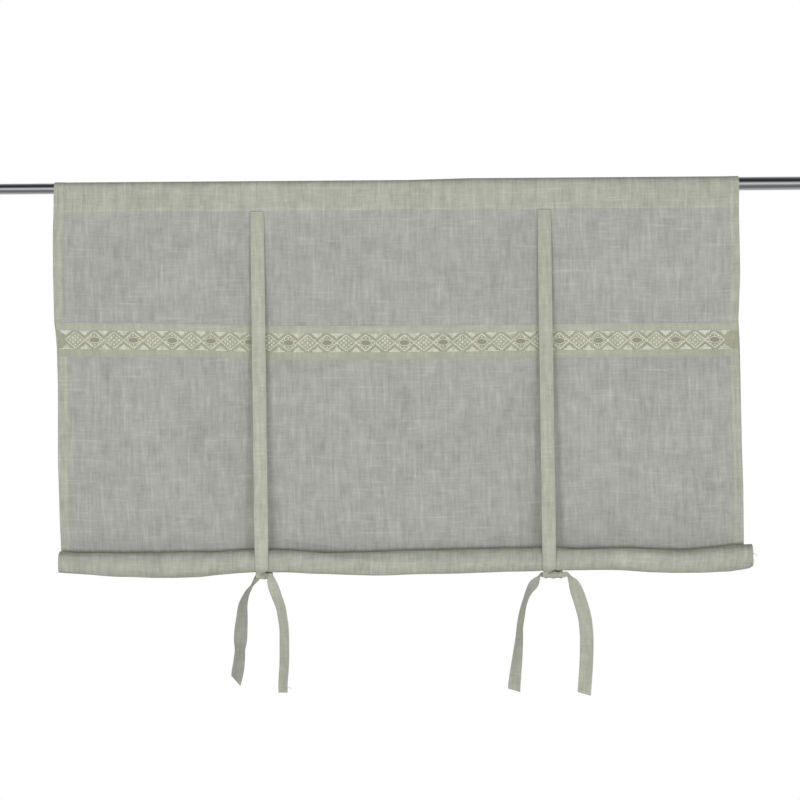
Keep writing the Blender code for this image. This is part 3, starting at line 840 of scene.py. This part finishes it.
thread_bm = bmesh.new()
for name, lines, radius in (("trails", trails, TRAIL_R), ("net", fine, NET_R), ("satin", satin, SATIN_R),
                            ("rings", rings, RING_R)):
    merge(thread_bm, threads(name, lines, radius))
for places, size in ((beads, BEAD), (knobs, KNOB)):
    shape = Matrix.Diagonal((*size, 1))
    lozenges(thread_bm, [Matrix.Translation((x, -ON_GROUND - 0.0003, up)) @ shape for x, up in places])
lace_threads = piece("lace_threads", laid_on_cloth(thread_bm), yarn_finish)
print("lace thread faces:", len(lace_threads.data.polygons))

# the leaves are darker than the other threads: partly a leaf of darker thread, partly painted shade for the
# shade inside the eyes
leaf_finish_painted_shade = speckled("lace_leaf", 700, (0.285, 0.288, 0.215), (0.50, 0.505, 0.400), 0.0002,
                       Roughness=0.8, Sheen_Weight=0.1, Specular_IOR_Level=0.25)
leaf_bm = laid_on_cloth(threads("leaves", leaves, LEAF_R))
lace_leaves = piece("lace_leaves", leaf_bm, leaf_finish_painted_shade)

# %% Lace stitching
lace_seam_bm = bmesh.new()
SEAM_HALF = WIDTH / 2 - 0.003
for up in (LACE_TOP - 0.0024, -LACE_TOP + 0.0024):
    line = [bend_to_cloth(float(x), up, LACE_CLOTH / 2) for x in np.linspace(-SEAM_HALF, SEAM_HALF, 260)]
    stitches(lace_seam_bm, line, FRONT)
lace_seams = piece("lace_stitching", lace_seam_bm, thread_finish)

# %% [markdown]
# ## The tapes
# Each tape is a strip of the same cloth, folded and stitched along both edges. It hangs flat from the
# pocket's seam, goes round the roll, is bunched into the half knot and opens again into a tail. A
# simulated knot slips, so the tape follows rows like the solid's: a point, the way its front faces, half
# its width and half its thickness. Where it is narrowed, its columns fold into pleats that fill the
# bunch, so the knot shows folded cloth.

# %% Route of the tapes
FLAT, WIDE = TAPE / 2, TAPE_HALF
KNOT_W, KNOT_END_W, KNOT_T = 0.0056, 0.0042, 0.0017   # half gathered in the knot, folded over itself
KNOT_LOOSE, KNOT_LIFT = 0.0010, 0.0010
KNOT_Y = -0.002
KNOT_DROP = ROLL_R + CLOTH / 2 + 2 * GAP + KNOT_R + BUNCH + 0.001
# x at the seam, at the roll and at the knot, half the knot's length, then the right and the left tail.
# A tail's row: x, y and z from the knot in mm, which way its front faces in degrees, and its shares of full
# width and thickness where these aren't 1
PLACES = {
    "left": (
        -0.2045, -0.2005, -0.1975, 0.0090,
        ((11.2, -7.2, -8.5, -6, 0.7, 2), (17.8, -7, -27.4, -38), (23.6, -8.5, -43.3, -41),
         (26.6, -9.5, -59.2, -42), (28.8, -10.5, -75.1, -43), (29.1, -11, -95, -42),
         (28.6, -11, -126, -42), (26.7, -10.5, -154.4, -44), (26.5, -10, -169, -43)),
        ((-17, 3.5, -11, 66, 0.45, 2), (-23.8, 5, -20.5, 62, 0.7, 1.5),
         (-28, 6, -29, 60, 0.85, 1), (-32.3, 5.8, -42.9, 50), (-33.6, 5, -60, 36),
         (-35, 4.2, -76, 20), (-35.8, 3.6, -90.4, 14), (-36.6, 2.8, -106.3, 42),
         (-37.9, 2.2, -122.2, 36), (-40.1, 1.6, -138, 30), (-43, 1, -152.6, 38))),
    "right": (
        0.2157, 0.2185, 0.2256, 0.0125,
        ((19.5, -6, 1.8, -66, 0.4, 2.2), (24.5, -6.5, -4.6, -57, 0.7, 1.6), (29.6, -7.5, -13.1, -41),
         (35.3, -9, -29, -14), (40.4, -10, -45, -6), (44.3, -10.5, -60.9, -4),
         (46.1, -10.5, -76.7, 0), (47, -10.5, -92.6, 0), (46.3, -10.5, -124.4, -4),
         (44.6, -10.3, -148.1, -4), (42.8, -10, -172.6, -2)),
        ((-19, 3, 0.5, 66, 0.35, 2.2), (-23.8, 4, -5, 50, 0.65, 1.6), (-28.8, 4.8, -12.7, 44),
         (-36.3, 5.6, -24.5, 58), (-41.2, 5.8, -36.4, 64), (-44.7, 5.6, -48, 62), (-47, 5.2, -60.2, 58),
         (-49.7, 4.5, -76, 58), (-50.8, 4, -91.9, 52), (-54.2, 3.2, -123.6, 36),
         (-58, 2.4, -155.3, 22), (-58.9, 2, -168, 20))),
}


def solid_roll_z(x):
    """Height of the roll's axis as the solid tapes have it."""
    return on_line(x / WIDTH + 0.5, ROLL_LINE) - DROP


def turned(degrees):
    a = math.radians(degrees)
    return (math.sin(a), -math.cos(a), 0)


def eased(keys, per_gap):
    """A smooth run of rows through key rows, all of their numbers together."""
    k = np.array([[*p, *f, a, b] for p, f, a, b in keys])
    k = np.vstack([2 * k[0] - k[1], k, 2 * k[-1] - k[-2]])
    spots = []
    for i in range(1, len(k) - 2):
        for t in np.arange(per_gap) / per_gap:
            spots.append(0.5 * (2 * k[i] + (k[i + 1] - k[i - 1]) * t
                                + (2 * k[i - 1] - 5 * k[i] + 4 * k[i + 1] - k[i + 2]) * t ** 2
                                + (3 * k[i] - 3 * k[i + 1] + k[i + 2] - k[i - 1]) * t ** 3))
    return [(q[:3], q[3:6], q[6], q[7]) for q in [*spots, k[-2]]]


def down_and_under(side, x_top, x_roll, x_knot):
    """Rows from the seam to under the roll; side is -1 for a front tape, +1 for a back one."""
    z_roll = solid_roll_z(x_roll)
    rest = ROLL_R + CLOTH / 2 + 2 * GAP
    near = 0.0020 if side < 0 else 0.0022
    rows = []
    for t in np.concatenate(([0, 0.01], np.linspace(0.03, 0.97, 48))):
        y = near + t * (rest + TAPE / 2 - near)
        x = x_top + t * (x_roll - x_top) + 0.0005 * wave(t * 5, side, x_top * 50) * math.sin(math.pi * t)
        rows.append(((x, side * y, SEAM_Z + t * (z_roll - SEAM_Z)), (0, side, 0), WIDE, FLAT))
    for degrees in range(0, 73, 3):
        pinch = float(np.interp(degrees, (0, 36, 54, 72), (0, 0.06, 0.40, 1)))
        a = math.radians(degrees)
        half_w = WIDE + pinch * (KNOT_END_W - WIDE)
        half_t = FLAT + pinch * (KNOT_T - FLAT)
        x = x_roll + pinch * 0.85 * (x_knot - x_roll)
        rows.append(((x, side * (rest + half_t) * math.cos(a), z_roll - (rest + half_t) * math.sin(a)),
                     (0, side * math.cos(a), -math.sin(a)), half_w, half_t))
    return rows


def knot_rows(side, x_mid, half_length, z_mid):
    """One turn round the knot's axis; a front tape runs to the right, a back one to the left."""
    rows = []
    radius = KNOT_R + KNOT_LOOSE
    for t in np.linspace(0, 1, 31):
        y, z = side * math.cos(2 * math.pi * t), side * math.sin(2 * math.pi * t)
        place = (x_mid + half_length * (2 * t - 1), KNOT_Y + radius * y, z_mid + radius * z)
        half_w = KNOT_END_W + (KNOT_W - KNOT_END_W) * math.sin(math.pi * t)
        rows.append((place, (0, y, z), half_w, KNOT_T))
    return rows if side < 0 else rows[::-1]


# %% Tape mesh
PLEATS, TAPE_CLOTH, STITCHED_AT = 6, 0.0006, 0.82
ROWS_A_KEY = 9
CURL_FROM, CURL_FULL, SLANT_FROM = 59, 39, 10     # rows before a tail's end
TAPE_COLUMNS = [k / PLEATS - 1 for k in range(2 * PLEATS + 1)]
TAPE_COLOUR = (0.462, 0.474, 0.395)
# a tape's painted light and shade (how much light it gets where it hangs), the slant of its end and the
# depth of the hem there, if it has one
TAPES = {"front_tape_left": ((1.09, 1.085, 1.09), 0.0012, 0),
         "back_tape_left": ((0.83, 0.825, 0.86), 0.0068, 0),
         "front_tape_right": ((1.04, 1.035, 1.035), -0.0022, 0.024),
         "back_tape_right": ((0.97, 0.965, 0.98), 0.0026, 0.013)}


def lit_tape_finish(name):
    """The cloth's finish, with the painted light and shade of one tape scaled into its colour."""
    finish = Finish(name + "_cloth", **SOFT)
    colour = tuple(c * k for c, k in zip(TAPE_COLOUR, TAPES[name][0]))
    return finish.set(Base_Color=woven(finish, colour, 0.85)[2])


def tape_with_stitches(name, rows, node):
    """Build one tape with its cut or hemmed end, and the stitches along its edges."""
    _, slant, hem_back = TAPES[name]
    centres = [Vector(r[0]) for r in rows]
    travelled = travel(centres)
    length = float(travelled[-1])
    last = len(rows) - 1

    def axes(n):
        """Along, across and front of the tape at a row."""
        tangent = (centres[min(n + 1, last)] - centres[max(n - 1, 0)]).normalized()
        across = tangent.cross(Vector(rows[n][1])).normalized()
        return tangent, across, across.cross(tangent).normalized()

    def curl(column, n):
        """The tail's edges curl a little, now to the front and now to the back."""
        sway = 0.0007 * wave(travelled[n] * 22, 5.0, len(name))
        return sway * step(n, last - CURL_FROM, last - CURL_FULL) * (column * column - 0.4)

    def at(column, n):
        """A point of the tape: pleated where it is gathered, slanted at its end."""
        _, _, half_w, half_t = rows[n]
        tangent, across, front = axes(n)
        room = max(0.0, half_t - FLAT)
        pleat = room * 0.92 * (1 if round((column + 1) * PLEATS) % 2 else -1)
        off = pleat + curl(column, n) * max(0.0, 1 - room / 0.0004)
        end = max(0, n - (last - SLANT_FROM)) / SLANT_FROM
        return centres[n] + across * (half_w * column) + front * off + tangent * (slant * column * end)

    def edge_line(run, column, face):
        """Points and outward directions for a line of stitches."""
        line, fronts = [], []
        for n in run:
            _, across, front = axes(n)
            off = curl(column, n) + face * TAPE_CLOTH / 2
            line.append(centres[n] + across * (rows[n][2] * column) + front * off)
            fronts.append(front * face)
        return line, fronts

    bm, _ = placed_grid(TAPE_COLUMNS, list(range(len(rows))), at,
                        lambda i, j: ((TAPE_COLUMNS[i] + 1) * WIDE, float(travelled[j])))
    obj = piece(name, bm, lit_tape_finish(name), (node,))
    thicken(obj, TAPE_CLOTH, even=False)
    smoother = obj.modifiers.new("smooth", "SUBSURF")
    smoother.levels = smoother.render_levels = 1
    stitch_bm = bmesh.new()
    flat_rows = [n for n in range(1, len(rows) - 3) if rows[n][3] < FLAT * 1.25]
    for run in np.split(flat_rows, np.flatnonzero(np.diff(flat_rows) > 1) + 1):
        if len(run) > 3:
            for column in (-STITCHED_AT, STITCHED_AT):
                for face in (1, -1):
                    stitches(stitch_bm, *edge_line(run, column, face))
    if hem_back:
        n = int(np.searchsorted(travelled, length - hem_back))
        front = Vector(rows[n][1])
        for face in (1, -1):
            line = [at(c, n) + front * face * TAPE_CLOTH / 2 for c in TAPE_COLUMNS]
            stitches(stitch_bm, line, front * face)
    sewn = piece(name + "_stitching", stitch_bm, thread_finish)
    print(name, "is", round(length, 3), "m long,", len(obj.data.polygons), "faces")


for place_name, (u_top, u_roll, u_knot, half_length, right_tail, left_tail) in PLACES.items():
    x_top, x_roll, x_knot = u_top * WIDTH, u_roll * WIDTH, u_knot * WIDTH
    z_knot = solid_roll_z(x_roll) - KNOT_DROP
    for side, tail, label in ((-1, right_tail, "front"), (1, left_tail, "back")):
        wound = knot_rows(side, x_knot, half_length, z_knot + KNOT_LIFT)
        keys = [wound[-1]]
        for x, y, z, degrees, *shares in tail:
            share_w, share_t = shares or (1, 1)
            place = (x_knot + x / 1000, KNOT_Y + y / 1000, z_knot + z / 1000)
            # a back tape leaves its knot with its other face to the front, so that it needn't twist
            facing = turned(degrees + 180 * (side > 0))
            keys.append((place, facing, share_w * WIDE, share_t * FLAT))
        rows = down_and_under(side, x_top, x_roll, x_knot + side * half_length)
        rows += wound + eased(keys, ROWS_A_KEY)[1:]
        tape_with_stitches(f"{label}_tape_{place_name}", rows, f"{label}_tie_{place_name}")

# %% [markdown]
# ## Loose threads
# A few ends of thread stand out where the cloth was cut: at the end of the left front tape and at both
# ends of the roll. Hair particles would scatter them anywhere, so each is one thin round thread along a
# few points.

# %% Loose threads
FRAY_R = 0.00028
# points in mm
FRAYS = (
    ((-166.5, -12.5, -731.5), (-164, -13, -730), (-161.2, -13.4, -731.2), (-159, -13.6, -732.6)),
    ((-166, -12, -733), (-165, -12.6, -735), (-165.6, -12.8, -736.8)),
    ((514, -10, -539.5), (517.5, -10.6, -540.3), (520.6, -10.8, -542), (522.2, -10.8, -544.6)),
    ((513.5, -14, -548), (516.5, -14.6, -549.2), (518, -14.8, -551.2)),
    ((-496, -15, -559), (-498.5, -15.6, -560.6), (-499.6, -15.8, -562.8)),
)
frays = [[(x / 1000, z / 1000, -y / 1000) for x, y, z in line] for line in FRAYS]
fray_bm = threads("frays", frays, FRAY_R, 2)
piece("loose_threads", fray_bm, thread_finish)
print("loose threads:", len(FRAYS))

# %% [markdown]
# ## The rod
# The rod is two thin steel tubes, one sliding in the other, with plastic plugs in the ends. Their solids
# have the right shape, but a mirror finish shows every flat of a low tube. So each tube is spun again
# from its profile with many steps, and the plugs keep their solids with a better finish.

# %% Tubes
chrome = Finish("chrome", Base_Color=(0.61, 0.62, 0.64), Metallic=1.0)
scratches = chrome.noise("Object", (8, 900, 900), 3.0)
smears = chrome.noise("Object", (30, 60, 60), 3.0)
chrome.set(Roughness=0.07 + scratches * 0.06 + smears * 0.05, Normal=chrome.bump(scratches, 0.00002))
steel = Finish("steel", Base_Color=(0.62, 0.63, 0.65), Metallic=1.0)
drawn = steel.noise("Object", (6, 1200, 1200), 3.0)
steel.set(Roughness=0.12 + drawn * 0.12, Normal=steel.bump(drawn, 0.00003))
STEPS_ROUND = 96


def tube(name, x0, x1, radius, bore, mouth, finish, body, node):
    """Spin a closed (x, radius) profile about the rod's axis; mouth is the bore at x0."""
    edge = 0.0003
    profile = [(x0, mouth), (x0, radius - edge), (x0 + edge / 3, radius - edge / 3), (x0 + edge, radius),
               (x1 - edge, radius), (x1 - edge / 3, radius - edge / 3), (x1, radius - edge), (x1, bore)]
    if mouth != bore:
        profile += [(x0 + MOUTH + 2 * WALL, bore), (x0 + MOUTH, mouth)]
    bm = bmesh.new()
    outline = [bm.verts.new((x, r, 0)) for x, r in profile]
    edges = [bm.edges.new((outline[i], outline[(i + 1) % len(outline)])) for i in range(len(outline))]
    bmesh.ops.spin(bm, geom=outline + edges, cent=(0, 0, 0), axis=(1, 0, 0), angle=2 * math.pi,
                   steps=STEPS_ROUND, use_merge=True)
    bmesh.ops.remove_doubles(bm, verts=bm.verts, dist=1e-6)
    obj = piece(name, bm, finish, (node,), body)
    for face in obj.data.polygons:
        face.use_smooth = abs(face.normal.x) < 0.5
    return obj


thick = tube("thick_tube", OVERLAP_FROM, ROD_HALF, OUTER_R, OUTER_R - WALL, INNER_R + GAP, chrome,
             CLOTH_BODY, "rod_outer_tube")
thin = tube("thin_tube", -ROD_HALF, OVERLAP_TO, INNER_R, INNER_R - WALL, INNER_R - WALL, steel,
            THIN_TUBE_BODY, "rod_inner_tube")

plug_finish = Finish("plug_plastic", Specular_IOR_Level=0.45)
grain = plug_finish.noise("Object", (1400, 1400, 1400), 2.0)
plug_finish.set(Base_Color=plug_finish.blend(grain, (0.44, 0.45, 0.46), (0.58, 0.59, 0.60)),
                Roughness=0.40 + grain * 0.2, Normal=plug_finish.bump(grain, 0.00004))
for node in ("rod_end_plug_left", "rod_end_plug_right"):
    solid = bpy.data.objects[node]
    solid.data.materials.clear()
    solid.data.materials.append(plug_finish.material)
print("rod pieces:", thick.name, thin.name, "and two plugs")
